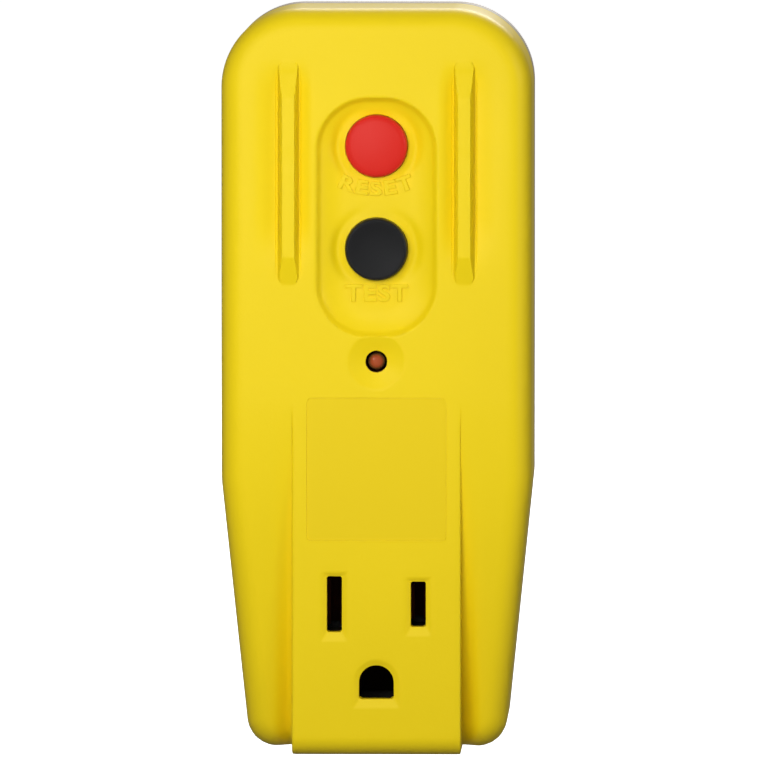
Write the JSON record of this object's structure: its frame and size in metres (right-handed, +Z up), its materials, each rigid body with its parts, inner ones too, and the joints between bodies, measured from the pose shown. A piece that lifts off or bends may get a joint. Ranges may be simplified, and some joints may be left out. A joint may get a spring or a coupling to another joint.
{
  "type": "plug-in ground fault outlet adapter",
  "caption": "Yellow plug-in ground fault outlet adapter with reset and test buttons, an indicator lamp, a grounded outlet in front and a grounded plug behind.",
  "frame": {"origin": "on the rear face that meets the wall plate, midway between the two flat blades", "axes": "+Z up the long body, +Y into the wall along the blades, so the front with its outlet and buttons faces -Y; +X is to the right seen from the front"},
  "size_m": [0.047, 0.0589, 0.1131],
  "materials": {
    "housing_yellow": "fine moulded texture",
    "housing_grey": "fine moulded texture",
    "label_blank": "smooth",
    "button_red": "satin",
    "button_black": "satin",
    "lamp_amber": "translucent",
    "sleeve_dark": "matt",
    "steel": "plain",
    "board_green": "solder mask",
    "nylon_cream": "plain",
    "resin_black": "plain",
    "epoxy_orange": "dipped",
    "capacitor_blue": "smooth",
    "core_grey": "coated",
    "wire_black": "insulation",
    "wire_white": "insulation",
    "barrier_paper": "fibre sheet",
    "copper": "rolled strip",
    "brass": "stamped"
  },
  "bodies": {
    "housing": {"front_housing": "housing_yellow", "back_housing": "housing_grey", "front_label": "label_blank", "rear_label": "label_blank", "indicator_lamp": "lamp_amber", "lamp_sleeve": "sleeve_dark", "screw_1": "steel", "screw_2": "steel", "screw_3": "steel", "screw_4": "steel", "reset_spring": "steel", "test_spring": "steel", "solenoid_frame": "steel", "plunger_spring": "steel", "circuit_board": "board_green", "button_bracket": "nylon_cream", "solenoid_bobbin": "nylon_cream", "series_resistor": "nylon_cream", "control_chip": "resin_black", "trip_thyristor": "resin_black", "diode_left": "resin_black", "diode_right": "resin_black", "core_cup": "resin_black", "outlet_block": "resin_black", "surge_varistor": "epoxy_orange", "film_capacitor": "capacitor_blue", "storage_capacitor": "capacitor_blue", "sense_core": "core_grey", "neutral_core": "core_grey", "wire_hot": "wire_black", "wire_neutral": "wire_white", "barrier_sheet": "barrier_paper", "line_terminal_hot": "copper", "line_terminal_neutral": "copper", "load_strip_hot": "copper", "load_strip_neutral": "copper", "solenoid_winding": "copper", "test_leaf": "copper", "ground_contact": "brass", "ground_strap": "brass", "ground_pin": "brass", "blade_hot": "brass", "blade_neutral": "brass"},
    "reset_assembly": {"reset_button": "button_red", "reset_pin": "steel"},
    "test_assembly": {"test_button": "button_black"},
    "carriage": {"contact_carriage": "nylon_cream", "contact_bar_hot": "copper", "contact_bar_neutral": "copper"},
    "latch": {"latch_plate": "steel"},
    "plunger": {"solenoid_plunger": "steel"}
  },
  "joints": [
    {"name": "reset_press", "type": "slide", "parent": "housing", "child": "reset_assembly", "axis": [0, 1, 0], "range_m": [0, 0.0022], "stiffness_N_per_m": 300, "springref_m": -0.002, "deforming": ["reset_spring"]},
    {"name": "test_press", "type": "slide", "parent": "housing", "child": "test_assembly", "axis": [0, 1, 0], "range_m": [0, 0.0016], "stiffness_N_per_m": 250, "springref_m": -0.002, "deforming": ["test_spring"]},
    {"name": "contacts_close", "type": "slide", "parent": "housing", "child": "carriage", "axis": [0, -1, 0], "range_m": [0, 0.0016], "stiffness_N_per_m": 200, "springref_m": -0.001},
    {"name": "plunger_strike", "type": "slide", "parent": "housing", "child": "plunger", "axis": [0, 0, -1], "range_m": [0, 0.0014], "stiffness_N_per_m": 150, "springref_m": -0.001, "deforming": ["plunger_spring"]},
    {"name": "latch_release", "type": "slide", "parent": "carriage", "child": "latch", "axis": [0, 0, -1], "range_m": [0, 0.0014]}
  ],
  "couplings": [
    {"joint": "latch_release", "follows": "plunger_strike", "ratio": 1}
  ]
}
